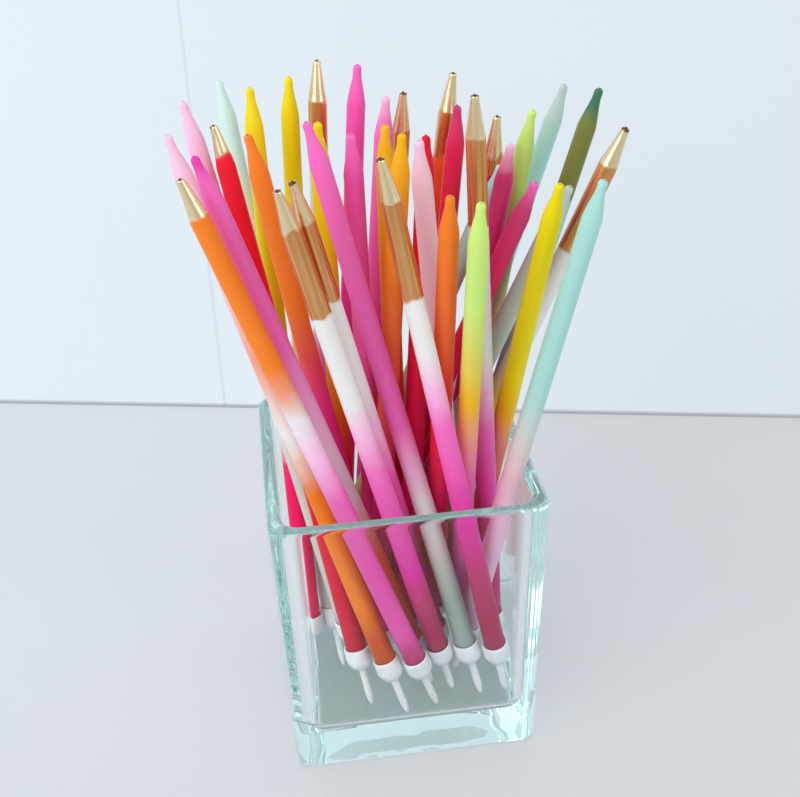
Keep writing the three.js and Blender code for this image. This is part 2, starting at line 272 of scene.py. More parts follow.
def wick_profile():
    end = CUP_MOUTH + MODEL_LENGTH
    heights = HIDDEN_RINGS + [end - TWISTED_END + RING_STEP * step for step in range(RINGS)]
    profile = [(height, WICK_RADIUS) for height in heights]
    return profile + [(end - CUT_BEVEL, WICK_RADIUS), (end, WICK_RADIUS * CUT_SHARE)]


def twist_strands(piece):
    """Every second corner of each ring sinks in, and each ring turns a little further than the last."""
    heights = sorted({round(vertex.co.z, 6) for vertex in piece.data.vertices})
    for vertex in piece.data.vertices:
        ring = heights.index(round(vertex.co.z, 6))
        angle = math.atan2(vertex.co.y, vertex.co.x)
        corner = round(angle / (2 * math.pi / WICK_SIDES))
        radius = math.hypot(vertex.co.x, vertex.co.y) * (1 if corner % 2 else STRAND_SINK)
        turned = angle + ring * WICK_TWIST
        vertex.co.x = radius * math.cos(turned)
        vertex.co.y = radius * math.sin(turned)


wick_model = raise_turned("wick_model", wick_profile(), WICK_SIDES)
twist_strands(wick_model)
print("wick", [round(value / MM, 1) for value in wick_model.dimensions], "mm")

# %% [markdown]
# ## Where each candle stands
# A candle lifts out along its own length, so the axis of its lift joint is also its direction. The middle
# of its solid, seen along that direction, gives the line itself, and the solid's lowest point along the
# line is the tip of the spike. Every model above is built upwards from that tip.

# %% Read the candle lines from the frame
SEPARATE = ["crimson", "ivory", "red", "amber", "fuchsia", "orange", "raspberry", "sage", "magenta", "cerise"]
LIFT = "lift_"
lifts = [joint for joint in frame["joints"] if joint["name"].startswith(LIFT)]
lift_axis = {joint["name"].removeprefix(LIFT): Vector(joint["axis"]) for joint in lifts}


def sideways_axes(direction):
    """The same turn as from +Z to the direction, so a model stands on its line without a twist."""
    turn = UP.rotation_difference(direction).to_matrix()
    return turn @ Vector((1, 0, 0)), turn @ Vector((0, 1, 0)), turn


def extent(points, axis):
    places = [point.dot(axis) for point in points]
    return min(places), max(places)


def candle_line(name):
    """Foot point in metres, turn, and length in millimetres above the mouth of the cup."""
    direction = lift_axis[name].normalized()
    side, across, turn = sideways_axes(direction)
    ends = ("pick_", "wick_") if name in SEPARATE else ("candle_", "candle_")
    lowest, highest = (frame["nodes"][part + name] for part in ends)
    points = [vertex.co for vertex in lowest.data.vertices]
    foot = direction * extent(points, direction)[0]
    foot += side * sum(extent(points, side)) / 2 + across * sum(extent(points, across)) / 2
    top = extent([vertex.co for vertex in highest.data.vertices], direction)[1]
    length = (top - foot.dot(direction)) / MM - CUP_MOUTH
    return foot, turn, length


lines = {name: candle_line(name) for name in lift_axis}
print("lines", len(lines), "lengths", sorted({round(line[2], 1) for line in lines.values()}))

# %% [markdown]
# ## Wax dyes
# The wax was dyed in a few strong colours, and each candle was dipped from one into the next. The dyes are
# given once, and a candle's list says how far below its tip, in millimetres, each dye has taken over.
# Between two entries the colours run into each other. Most dyes are as they look in daylight. The
# brightened ones are lighter than the wax, painted light that makes up for the shade of the others low
# down in the bunch, where they belong and still have to look strong.

# %% Dyes and dips
DYES = {
    "pink": "#f873c4", "light_pink": "#fbc6e4", "blush": "#f3c6d2", "rose": "#f45cb8", "magenta": "#f036ae",
    "cerise": "#cc3b78", "plum": "#b5305c", "crimson": "#e2285a", "red": "#ee0a2e", "deep_red": "#cf1c40",
    # The brightened dyes are painted light: lighter than the wax, against the shade low in the bunch.
    "hot_pink": "#fb3a9c", "hot_crimson": "#f81e68", "hot_red": "#fb2238",
    "orange": "#f68524", "tangerine": "#f76c30", "rust": "#d2581f", "peach": "#f0a288", "coral": "#f0605c",
    "yellow": "#f0dc06", "amber": "#f3bd16", "pale_yellow": "#e9e6a0", "white": "#eceae8", "grey": "#d8d2cc",
    "cream": "#e6cf9e", "sage": "#a5b3ad", "mint": "#cbe8e2", "teal": "#abdcd4", "aqua": "#8fd6ca",
    "lime": "#cdee7e", "olive": "#7d8340", "forest": "#3f7a5e", "grey_teal": "#bccbc2",
}

DIPS = {
    "crimson": [(0, "mint"), (24, "mint"), (44, "pale_yellow"), (66, "white"), (84, "blush"), (100, "grey")],
    "ivory": [(0, "light_pink"), (34, "light_pink"), (62, "blush"), (84, "white"), (112, "grey")],
    "red": [(0, "pale_yellow"), (9, "red"), (90, "red"), (156, "deep_red")],
    "amber": [(0, "light_pink"), (40, "blush"), (62, "peach"), (84, "white"), (102, "orange"),
              (138, "orange"), (150, "rust")],
    "fuchsia": [(0, "tangerine"), (12, "orange"), (52, "orange"), (60, "peach"), (68, "white"),
                (80, "light_pink"), (96, "pink"), (118, "rose"), (144, "rose"), (154, "cerise")],
    "orange": [(0, "magenta"), (7, "pink"), (52, "pink"), (80, "light_pink"), (92, "white"), (104, "white"),
               (116, "peach"), (126, "tangerine")],
    "raspberry": [(0, "white"), (60, "white"), (68, "light_pink"), (84, "pink"), (104, "rose"),
                  (118, "magenta"), (130, "cerise"), (142, "plum")],
    "sage": [(0, "pink"), (84, "pink"), (98, "light_pink"), (108, "white"), (124, "grey"), (140, "sage")],
    "magenta": [(0, "white"), (52, "white"), (60, "light_pink"), (74, "pink"), (92, "rose"), (106, "magenta"),
                (124, "cerise"), (140, "plum")],
    "cerise": [(0, "white"), (70, "white"), (80, "light_pink"), (94, "pink"), (112, "rose"), (126, "cerise")],
    "cream": [(0, "light_pink"), (8, "blush"), (66, "blush"), (82, "white"), (98, "cream")],
    "lemon_peach": [(0, "yellow"), (62, "yellow"), (74, "amber"), (84, "peach"), (104, "coral")],
    "teal_rose": [(0, "teal"), (60, "teal"), (78, "grey"), (90, "blush"), (110, "light_pink")],
    "gilt_white": [(0, "white"), (70, "white"), (86, "yellow"), (120, "amber")],
    "olive": [(0, "forest"), (5, "forest"), (9, "olive"), (29, "olive"), (31, "aqua"), (60, "teal")],
    "sea": [(0, "grey_teal"), (20, "teal"), (70, "teal"), (100, "white")],
    "gilt_rose": [(0, "white"), (60, "white"), (74, "light_pink"), (90, "rose"), (120, "cerise")],
    "tangerine": [(0, "orange"), (46, "orange"), (60, "coral"), (76, "hot_pink")],
    "mist": [(0, "grey_teal"), (60, "grey_teal"), (84, "blush")],
    "ice": [(0, "mint"), (6, "teal"), (50, "mint"), (80, "cream")],
    "peach_rose": [(0, "pink"), (8, "cerise"), (40, "hot_crimson")],
    "lime": [(0, "lime"), (30, "lime"), (60, "amber"), (90, "pink")],
    "apricot": [(0, "orange"), (40, "tangerine"), (70, "hot_red"), (96, "hot_crimson")],
    "lemon": [(0, "yellow"), (72, "yellow"), (88, "white"), (98, "white"), (106, "hot_crimson")],
    "canary": [(0, "yellow"), (60, "yellow"), (90, "pale_yellow")],
    "tall_gold": [(0, "white"), (60, "white"), (90, "pink")],
    "butter": [(0, "yellow"), (30, "yellow"), (60, "amber"), (84, "orange"), (104, "hot_crimson")],
    "magenta_back": [(0, "pink"), (12, "rose"), (60, "magenta"), (90, "hot_pink")],
    "coral": [(0, "pink"), (10, "rose"), (50, "pink"), (90, "hot_pink")],
    "rose": [(0, "light_pink"), (8, "pink"), (60, "rose")],
    "amber_back": [(0, "amber"), (20, "amber"), (50, "orange"), (90, "hot_red"), (112, "hot_crimson")],
    "maize": [(0, "amber"), (40, "orange"), (80, "coral"), (104, "hot_pink")],
    "gold_mid": [(0, "orange"), (60, "hot_red"), (100, "hot_crimson")],
    "gold_right": [(0, "orange"), (60, "hot_red"), (100, "hot_pink")],
    "flame": [(0, "red"), (36, "hot_red"), (90, "hot_crimson")],
    "claret": [(0, "cerise"), (12, "crimson"), (50, "hot_red"), (90, "hot_crimson")],
    "petal": [(0, "light_pink"), (8, "cerise"), (50, "hot_pink")],
    "pistachio": [(0, "lime"), (20, "lime"), (40, "olive"), (70, "cream")],
    "gilt_plum": [(0, "deep_red"), (60, "deep_red")],
}

GOLD_DOWN_TO = {
    "fuchsia": 9.5, "raspberry": 34, "magenta": 36, "cerise": 33, "gilt_white": 36, "gilt_rose": 32,
    "tall_gold": 30, "gold_mid": 26, "gold_right": 22, "gilt_plum": 15, "red": 8,
}
print("dips for", len(DIPS), "candles,", len(GOLD_DOWN_TO), "with gold")

# %% [markdown]
# ## Small tools for materials
# Each finish is a Principled shader fed by a few nodes. A colour typed as a web colour has to be turned
# into linear light first. One noise, read on the Object coordinates, makes the slight differences that
# keep a surface from looking like paint on a screen.

# %% Material helpers
RANGE_SOCKETS = ("From Min", "From Max", "To Min", "To Max")
# On a Mix node for colours, these sockets hold the factor and the two colours.
COLOUR_SOCKETS = (0, 6, 7)
NOISE_SPREAD = (0.3, 0.7)


def linear(web_colour):
    channels = [int(web_colour[place:place + 2], 16) / 255 for place in (1, 3, 5)]
    values = [value / 12.92 if value <= 0.04045 else ((value + 0.055) / 1.055) ** 2.4 for value in channels]
    return (*values, 1.0)


def new_material(name):
    material = bpy.data.materials.new(name)
    material.use_nodes = True
    nodes = material.node_tree.nodes
    return material, nodes, material.node_tree.links, nodes["Principled BSDF"]


def add_noise(nodes, links, scale, detail=2.0):
    """Noise with so many bumps per metre, on Object coordinates."""
    place = nodes.new("ShaderNodeTexCoord")
    noise = nodes.new("ShaderNodeTexNoise")
    noise.inputs["Scale"].default_value = scale
    noise.inputs["Detail"].default_value = detail
    links.new(place.outputs["Object"], noise.inputs["Vector"])
    return noise


def map_range(nodes, links, source, from_low, from_high, to_low, to_high):
    node = nodes.new("ShaderNodeMapRange")
    links.new(source, node.inputs["Value"])
    for name, value in zip(RANGE_SOCKETS, (from_low, from_high, to_low, to_high)):
        node.inputs[name].default_value = value
    return node.outputs["Result"]


def vary(nodes, links, noise, low, high):
    """Spread a noise, which lies mostly near its middle, over the values from low to high."""
    return map_range(nodes, links, noise, *NOISE_SPREAD, low, high)


def fade(nodes, links, distance, start, end, strength=1):
    """The whole strength up to the start, then less and less, and nothing from the end on."""
    return map_range(nodes, links, distance, start, end, strength, 0)


def split_place(nodes, links, noise):
    """X, Y and Z of the coordinates on which a noise is read, in metres."""
    place = nodes.new("ShaderNodeSeparateXYZ")
    links.new(noise.inputs["Vector"].links[0].from_socket, place.inputs[0])
    return place.outputs


def feed(links, socket, source):
    """Link an output to a socket, or set the socket to a plain value."""
    if isinstance(source, (tuple, float, int)):
        socket.default_value = source
    else:
        links.new(source, socket)


def calculate(nodes, links, operation, *sources):
    """A Math node on one or two sources, each of them an output or a number."""
    node = nodes.new("ShaderNodeMath")
    node.operation = operation
    for socket, source in zip(node.inputs, sources):
        feed(links, socket, source)
    return node.outputs[0]


def mix_colours(nodes, links, factor, first, second):
    node = nodes.new("ShaderNodeMix")
    node.data_type = "RGBA"
    for number, source in zip(COLOUR_SOCKETS, (factor, first, second)):
        feed(links, node.inputs[number], source)
    return node.outputs[2]


def mix_shaders(nodes, links, factor, first, second):
    node = nodes.new("ShaderNodeMixShader")
    for socket, source in zip(node.inputs, (factor, first, second)):
        links.new(source, socket)
    return node.outputs[0]


def add_bump(nodes, links, shader, height, strength, depth_mm=0.1):
    bump = nodes.new("ShaderNodeBump")
    bump.inputs["Strength"].default_value = strength
    bump.inputs["Distance"].default_value = depth_mm * MM
    links.new(height, bump.inputs["Height"])
    links.new(bump.outputs["Normal"], shader.inputs["Normal"])


# %% [markdown]
# ## Dipped wax
# The dye depends only on how far a point is below the tip. Each taper carries that distance as an
# attribute, so the bands follow the candle however it leans. A slow noise is added to it, because a dip
# never ends in a perfect ring. Wax lets a little light in, so the shader has some subsurface, and a
# faint pale bloom lies on it.

# %% Dipped wax material
RAMP_SPAN = 200.0
DIP_WOBBLE = 0.9
WOBBLES_PER_METRE = 220
WAX_CLOUDS = 90
WAX_ROUGHNESS = (0.3, 0.44)
WAX_IOR = 1.45
WAX_SUBSURFACE = 0.4
WAX_SCATTER = (1.0, 0.75, 0.65)
WAX_SCATTER_MM = 2.6
WAX_SPECULAR = 0.2
WAX_GRAIN = 1400
BLOOM = "#fbf7f4"
BLOOM_SPREAD = (0.35, 0.75)
BLOOM_MOST = 0.015
WAX_BUMP = 0.05


def set_ramp(ramp, stops):
    elements = ramp.color_ramp.elements
    elements[0].position, elements[0].color = stops[0]
    elements[1].position, elements[1].color = stops[-1]
    for position, colour in stops[1:-1]:
        element = elements.new(position)
        element.color = colour


def wobbled_distance(nodes, links):
    """Distance below the tip in millimetres, a little uneven round the candle."""
    attribute = nodes.new("ShaderNodeAttribute")
    attribute.attribute_name = "below_tip"
    noise = add_noise(nodes, links, WOBBLES_PER_METRE, 1)
    wobble = vary(nodes, links, noise.outputs["Fac"], -DIP_WOBBLE, DIP_WOBBLE)
    return calculate(nodes, links, "ADD", attribute.outputs["Fac"], wobble)


def dipped_wax(name):
    material, nodes, links, shader = new_material("wax_" + name)
    distance = wobbled_distance(nodes, links)
    ramp = nodes.new("ShaderNodeValToRGB")
    set_ramp(ramp, [(place / RAMP_SPAN, linear(DYES[dye])) for place, dye in DIPS[name]])
    links.new(map_range(nodes, links, distance, 0, RAMP_SPAN, 0, 1), ramp.inputs["Fac"])
    cloudy = add_noise(nodes, links, WAX_CLOUDS, 3)
    bloom = map_range(nodes, links, cloudy.outputs["Fac"], *BLOOM_SPREAD, 0, BLOOM_MOST)
    colour = mix_colours(nodes, links, bloom, ramp.outputs["Color"], linear(BLOOM))
    rough = vary(nodes, links, cloudy.outputs["Fac"], *WAX_ROUGHNESS)
    if name in GOLD_DOWN_TO:
        colour, rough = add_gold(nodes, links, shader, distance, GOLD_DOWN_TO[name], colour, rough)
    links.new(colour, shader.inputs["Base Color"])
    links.new(rough, shader.inputs["Roughness"])
    shader.inputs["Subsurface Weight"].default_value = WAX_SUBSURFACE
    shader.inputs["Subsurface Radius"].default_value = WAX_SCATTER
    shader.inputs["Subsurface Scale"].default_value = WAX_SCATTER_MM * MM
    shader.inputs["IOR"].default_value = WAX_IOR
    shader.inputs["Specular IOR Level"].default_value = WAX_SPECULAR
    grain = add_noise(nodes, links, WAX_GRAIN, 3)
    add_bump(nodes, links, shader, grain.outputs["Fac"], WAX_BUMP)
    return material


# %% [markdown]
# ## Gilt ends
# The gold is a thin metal paint over the wax. Its colour lies in fine streaks along the candle, partly
# uneven paint and partly painted reflection, and a painted highlight makes it palest on the point. The cut
# end stays dark. Where the paint ends is a distance below the tip too, so the gold is one more band on the
# same attribute.

# %% Gold paint
# The two gold tones are uneven paint and painted reflection; the point colour is a painted highlight.
GOLD_DARK = "#da965a"
GOLD_LIGHT = "#f0ba82"
GOLD_POINT_HIGHLIGHT = "#f3dcb0"
GOLD_CUT_END = "#7a5a40"
PAINT_BLUR = 0.5
POINT_BLUR = 0.3
CUT_END_DEPTH = (0.3, 0.5)
STREAK_SCALE = 0.75
STREAK_STRETCH = 0.03
STREAK_SPREAD = (0.35, 0.65)
GOLD_ROUGHNESS = (0.2, 0.32)


# The streaks of this noise are partly uneven paint and partly painted reflection on the gold.
def streaks_and_painted_reflection(nodes, links):
    """Noise that changes round the candle but hardly along it, read on the candle's own coordinates."""
    attribute = nodes.new("ShaderNodeAttribute")
    attribute.attribute_name = "own_place"
    squash = nodes.new("ShaderNodeVectorMath")
    squash.operation = "MULTIPLY"
    squash.inputs[1].default_value = (1.0, 1.0, STREAK_STRETCH)
    links.new(attribute.outputs["Vector"], squash.inputs[0])
    noise = nodes.new("ShaderNodeTexNoise")
    noise.inputs["Scale"].default_value = STREAK_SCALE
    noise.inputs["Detail"].default_value = 2.0
    links.new(squash.outputs[0], noise.inputs["Vector"])
    return noise.outputs["Fac"]


def add_gold(nodes, links, shader, distance, lower_edge, colour, rough):
    """Gold paint from the tip down to an edge, in millimetres."""
    painted = fade(nodes, links, distance, lower_edge - PAINT_BLUR, lower_edge + PAINT_BLUR)
    streaks = streaks_and_painted_reflection(nodes, links)
    tone = map_range(nodes, links, streaks, *STREAK_SPREAD, 0, 1)
    gold = mix_colours(nodes, links, tone, linear(GOLD_DARK), linear(GOLD_LIGHT))
    # Painted highlight: the point of the gold is painted paler.
    painted_highlight = fade(nodes, links, distance, POINT_LENGTH - POINT_BLUR, POINT_LENGTH + POINT_BLUR)
    gold = mix_colours(nodes, links, painted_highlight, gold, linear(GOLD_POINT_HIGHLIGHT))
    cut_end = fade(nodes, links, distance, *CUT_END_DEPTH)
    gold = mix_colours(nodes, links, cut_end, gold, linear(GOLD_CUT_END))
    brushed = vary(nodes, links, streaks, *GOLD_ROUGHNESS)
    links.new(painted, shader.inputs["Metallic"])
    both = nodes.new("ShaderNodeMix")
    for socket, source in ((0, painted), (2, rough), (3, brushed)):
        links.new(source, both.inputs[socket])
    return mix_colours(nodes, links, painted, colour, gold), both.outputs[0]


wax_materials = {name: dipped_wax(name) for name in DIPS}
print("wax materials", len(wax_materials))

# %% [markdown]
# ## Pick plastic and wick cotton
# The picks are satin polythene, slightly cloudy, with the faint orange-peel of a cheap mould. The wick is
# cotton soaked in wax, so it takes the dye of the tip; where the tip is gilt, the wick is dark brown.

# %% Materials of picks and wicks
PLASTIC_COLOURS = ("#ecebf2", "#f6f5f8")
PLASTIC_CLOUDS = 160
PLASTIC_ROUGHNESS = (0.32, 0.46)
PLASTIC_SUBSURFACE = 0.25
PLASTIC_SCATTER = (1.0, 0.9, 0.9)
PLASTIC_SCATTER_MM = 1.2
PLASTIC_PEEL = 1100
PLASTIC_BUMP = 0.15
GILT_WICK_COLOUR = "#5a4636"
WICK_FIBRE = 2600
WICK_BUMP = 0.5
WICK_SHADOW = 0.7
WICK_ROUGHNESS = 0.6


def pick_plastic():
    material, nodes, links, shader = new_material("pick_plastic")
    cloud = add_noise(nodes, links, PLASTIC_CLOUDS, 2)
    tone = vary(nodes, links, cloud.outputs["Fac"], 0, 1)
    colour = mix_colours(nodes, links, tone, *map(linear, PLASTIC_COLOURS))
    links.new(colour, shader.inputs["Base Color"])
    rough = vary(nodes, links, cloud.outputs["Fac"], *PLASTIC_ROUGHNESS)
    links.new(rough, shader.inputs["Roughness"])
    shader.inputs["Subsurface Weight"].default_value = PLASTIC_SUBSURFACE
    shader.inputs["Subsurface Radius"].default_value = PLASTIC_SCATTER
    shader.inputs["Subsurface Scale"].default_value = PLASTIC_SCATTER_MM * MM
    peel = add_noise(nodes, links, PLASTIC_PEEL, 2)
    add_bump(nodes, links, shader, peel.outputs["Fac"], PLASTIC_BUMP)
    return material


def waxed_wick(name, web_colour):
    material, nodes, links, shader = new_material("wick_" + name)
    fibre = add_noise(nodes, links, WICK_FIBRE, 4)
    tone = vary(nodes, links, fibre.outputs["Fac"], 0, 1)
    pale = linear(web_colour)
    shadow = tuple(value * WICK_SHADOW for value in pale[:3]) + (1.0,)
    links.new(mix_colours(nodes, links, tone, shadow, pale), shader.inputs["Base Color"])
    shader.inputs["Roughness"].default_value = WICK_ROUGHNESS
    add_bump(nodes, links, shader, fibre.outputs["Fac"], WICK_BUMP)
    return material


plastic = pick_plastic()
gilt_wick = waxed_wick("gilt", GILT_WICK_COLOUR)
tip_dyes = sorted({dips[0][1] for dips in DIPS.values()})
wick_materials = {dye: waxed_wick(dye, DYES[dye]) for dye in tip_dyes}
print("wick materials", len(wick_materials))

# %% [markdown]
# ## Standing the candles in the glass
# The models are copied for each candle, each copy with its own mesh. For another length the body is drawn
# together or stretched evenly, and foot and point stay as they are. The point is bent a little to one
# side, because soft wax never hardens quite straight. Then the copy is turned and moved in its mesh, so
# its object stays at the origin. Last, the wax gets a very slight unevenness from a cloud texture, which
# differs from candle to candle because it is read where the candle stands.

# %% Copy a model onto a candle's line
SMOOTH_ANGLE = 50
UNEVEN_MM = 0.07
BENT_LENGTH = 9.0
BEND_MM = 0.45
BEND_SHARES = (0.2, 1.0)
BODY_LOW = 30.0
BODY_HIGH = 150.0
CLOUD_SIZE = 0.011
clouds = bpy.data.textures.new("wax_clouds", type="CLOUDS")
clouds.noise_scale = CLOUD_SIZE


def copy_model(model, name, length):
    piece = model.copy()
    piece.data = model.data.copy()
    piece.name = name
    bpy.context.scene.collection.objects.link(piece)
    for vertex in piece.data.vertices:
        share = (vertex.co.z / MM - BODY_LOW) / (BODY_HIGH - BODY_LOW)
        vertex.co.z -= (MODEL_LENGTH - length) * MM * min(max(share, 0), 1)
    return piece


def mark_places(piece, length):
    """Store each vertex's own place before the turn, and how far it is below the tip, in millimetres."""
    marks = piece.data.attributes.new("below_tip", "FLOAT", "POINT")
    places = piece.data.attributes.new("own_place", "FLOAT_VECTOR", "POINT")
    tip = CUP_MOUTH + length
    for vertex in piece.data.vertices:
        marks.data[vertex.index].value = tip - vertex.co.z / MM
        places.data[vertex.index].vector = vertex.co / MM


def bend_point(piece, length, sideways):
    """Lean the last few millimetres of the wax, and the wick in it, a little to one side."""
    start = (CUP_MOUTH + length - BENT_LENGTH) * MM
    for vertex in piece.data.vertices:
        share = (vertex.co.z - start) / (BENT_LENGTH * MM)
        if share > 0:
            vertex.co += sideways * share ** 2


def stand(piece, foot, turn):
    piece.data.transform(Matrix.Translation(foot) @ turn.to_4x4())


def roughen(piece):
    uneven = piece.modifiers.new("uneven", "DISPLACE")
    uneven.texture = clouds
    uneven.texture_coords = "LOCAL"
    uneven.strength = UNEVEN_MM * MM
    uneven.mid_level = 0.5
    apply_modifiers(piece)


def finish_round(piece, material, angle=SMOOTH_ANGLE):
    make_active(piece)
    bpy.ops.object.shade_smooth_by_angle(angle=math.radians(angle))
    piece.data.materials.clear()
    piece.data.materials.append(material)


# %% [markdown]
# ## Building every candle
# A candle is a taper, a pick and a wick on one line. A front candle comes apart in the CAD, so each of its
# pieces replaces a node of its own. Every other candle is one solid there, which its three pieces replace
# together. How far a point leans, and to which side, is drawn from the candle's name, so it is the same
# each time the script runs.


def build_candle(name):
    foot, turn, length = lines[name]
    separate = name in SEPARATE
    gilt = name in GOLD_DOWN_TO
    wax = copy_model(blunt_model if gilt else nib_model, f"dipped_{name}", length)
    mark_places(wax, length)
    pick = copy_model(pick_model, f"cup_{name}", length)
    wick = copy_model(wick_model, f"cord_{name}", length)
    chance = random.Random(name)
    angle = chance.uniform(0, 2 * math.pi)
    sideways = Vector((math.cos(angle), math.sin(angle), 0)) * chance.uniform(*BEND_SHARES) * BEND_MM * MM
    for piece in (wax, wick):
        bend_point(piece, length, sideways)
    for piece in (wax, pick, wick):
        stand(piece, foot, turn)
    roughen(wax)
    finish_round(wax, wax_materials[name])
    finish_round(pick, plastic)
    finish_round(wick, gilt_wick if gilt else wick_materials[DIPS[name][0][1]])
    bodies = ("taper_", "pick_", "taper_") if separate else ("candle_",) * 3
    nodes = ("wax_", "pick_", "wick_") if separate else ("candle_",) * 3
    for piece, body, node in zip((wax, pick, wick), bodies, nodes):
        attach(piece, body + name)
        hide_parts(node + name)


for candle in lines:
    build_candle(candle)
for model in (nib_model, blunt_model, pick_model, wick_model):
    bpy.data.objects.remove(model)
print("candles standing", len(lines))

# %% [markdown]
# ## The glass
# The glass is pressed: a square block, narrower at the foot, with a smaller square space in it that has
# slightly rounder corners, a round fillet at its floor and a base 11 mm thick below it. Both squares are
# modelled as blocks with bevelled edges and an open top, so one function makes them both.

# %% Square shells
GLASS_TOP = 75.0
GLASS_FOOT = 71.0
GLASS_HEIGHT = 85.0
GLASS_WALL = 3.8
GLASS_BASE = 11.0
GLASS_CORNER = 5.0
FOOT_EDGE = 1.6
CAVITY_CORNER = 5.5
CAVITY_FILLET = 5.2
CORNER_STEPS = 10
EDGE_STEPS = 8
UPRIGHT_SHARE = 0.9


def square_shell(name, top, foot, low, high, corner, edge):
    """A block with rounded corners and a rounded lower edge, open at the top. Sizes in millimetres."""
    bpy.ops.object.select_all(action="DESELECT")
    bpy.ops.mesh.primitive_cube_add(size=1)
    block = bpy.context.object
    block.name = name
    bpy.ops.object.mode_set(mode="EDIT")
    bpy.ops.mesh.select_all(action="SELECT")
    bpy.ops.transform.resize(value=(top * MM, top * MM, (high - low) * MM), center_override=(0, 0, 0))
    bpy.ops.transform.translate(value=(0, 0, (high + low) / 2 * MM))
    select_faces(block, lambda face: face.normal.z < -FACING)
    bpy.ops.transform.resize(value=(foot / top, foot / top, 1), center_override=(0, 0, low * MM))
    upright = (high - low) * MM * UPRIGHT_SHARE
    select_edges(block, lambda e: abs(e.verts[0].co.z - e.verts[1].co.z) > upright)
    bpy.ops.mesh.bevel(offset=corner * MM, segments=CORNER_STEPS, profile=0.5)
    lowest = low * MM + HAIR
    select_edges(block, lambda e: max(v.co.z for v in e.verts) < lowest)
    bpy.ops.mesh.bevel(offset=edge * MM, segments=EDGE_STEPS, profile=0.5)
    select_faces(block, lambda face: face.normal.z > FACING)
    bpy.ops.mesh.delete(type="ONLY_FACE")
    bpy.ops.object.mode_set(mode="OBJECT")
    return block


def inner_side(height):
    return GLASS_FOOT + (GLASS_TOP - GLASS_FOOT) * height / GLASS_HEIGHT - 2 * GLASS_WALL


outer_shell = square_shell("square_glass", GLASS_TOP, GLASS_FOOT, 0, GLASS_HEIGHT, GLASS_CORNER, FOOT_EDGE)
inner_shell = square_shell("inner", inner_side(GLASS_HEIGHT), inner_side(GLASS_BASE), GLASS_BASE,
                           GLASS_HEIGHT, CAVITY_CORNER, CAVITY_FILLET)
print("inner floor", round(inner_side(GLASS_BASE), 2), "mm wide")

# %% [markdown]
# ## From two shells to one glass
# The underside of pressed glass is slightly hollow, so that it doesn't rock. The inner shell is turned
# inside out, and the two open rims are bridged. A last bevel melts the edges of the rim, as fire polishing
# does. The large flat faces then decide the normals, because panes that are shaded round would bend what
# stands behind them as a lens does.

# %% Hollow, join and polish
RIM_ROUND = 1.6
RIM_STEPS = 6
UNDERSIDE_LEAST = 30.0
# Each ring of the hollow, as (size against the ring before, rise in millimetres).
HOLLOW_RINGS = [(0.88, 0.0), (0.9, 0.08), (0.85, 0.25), (0.75, 0.35), (0.6, 0.3), (0.4, 0.12)]


def join_shells(outside, inside):
    make_active(inside)
    bpy.ops.object.mode_set(mode="EDIT")
    bpy.ops.mesh.select_all(action="SELECT")
    bpy.ops.mesh.flip_normals()
    bpy.ops.object.mode_set(mode="OBJECT")
    make_active(outside)
    inside.select_set(True)
    bpy.ops.object.join()
    bpy.ops.object.mode_set(mode="EDIT")
    rim = select_edges(outside, lambda e: e.is_boundary)
    bpy.ops.mesh.bridge_edge_loops()
    top = GLASS_HEIGHT * MM - HAIR
    rounded = select_edges(
        outside,
        lambda e: min(v.co.z for v in e.verts) > top and any(f.normal.z < 0.5 for f in e.link_faces),
    )
    bpy.ops.mesh.bevel(offset=RIM_ROUND * MM, segments=RIM_STEPS, profile=0.5)
    bpy.ops.object.mode_set(mode="OBJECT")
    print("rim edges bridged", rim, "rounded", rounded)
    return outside


def hollow_underside(shell):
    make_active(shell)
    bpy.ops.object.mode_set(mode="EDIT")
    least = (UNDERSIDE_LEAST * MM) ** 2
    select_faces(shell, lambda face: face.normal.z < -FACING and face.calc_area() > least)
    for shrink, rise in HOLLOW_RINGS:
        bpy.ops.mesh.extrude_region_move(TRANSFORM_OT_translate={"value": (0, 0, rise * MM)})
        bpy.ops.transform.resize(value=(shrink, shrink, 1), center_override=(0, 0, 0))
    bpy.ops.object.mode_set(mode="OBJECT")


def flatten_panes(piece):
    weights = piece.modifiers.new("flat_panes", "WEIGHTED_NORMAL")
    weights.keep_sharp = True
    apply_modifiers(piece)


hollow_underside(outer_shell)
square_glass = join_shells(outer_shell, inner_shell)

# %% [markdown]
# ## Clear glass with a cool edge
# The glass is clear where light crosses one wall, and pale aqua where it runs along a wall or through the
# base. That is absorption over distance, so the tint sits in the volume. The thick base is a little
# rippled, and the walls aren't, so the bump fades out above the base. Reflections are weaker than those of
# plain glass, which would lay a white veil over the picks. Lamps have to reach the picks inside, so the
# surface lets light through to them as if it were hardly there.

# %% Glass material
GLASS_COLOUR = (0.97, 1.0, 0.995, 1)
GLASS_IOR = 1.5
GLASS_REFLECTION = (0.3, 0.3, 0.3, 1)
GLASS_SHADOW = (0.93, 0.965, 0.96, 1)
GLASS_TINT = (0.35, 0.86, 0.78, 1)
TINT_DENSITY = 4.0
RIPPLES_PER_METRE = 70
RIPPLE_FADE = 3
RIPPLE_BUMP = 0.25
RIPPLE_DEPTH = 0.8
GLASS_SMOOTH_ANGLE = 40


def ripple_in_base(nodes, links):
    ripple = add_noise(nodes, links, RIPPLES_PER_METRE, 1)
    height = split_place(nodes, links, ripple)["Z"]
    in_base = fade(nodes, links, height, GLASS_BASE * MM, (GLASS_BASE + RIPPLE_FADE) * MM)
    return calculate(nodes, links, "MULTIPLY", ripple.outputs["Fac"], in_base)


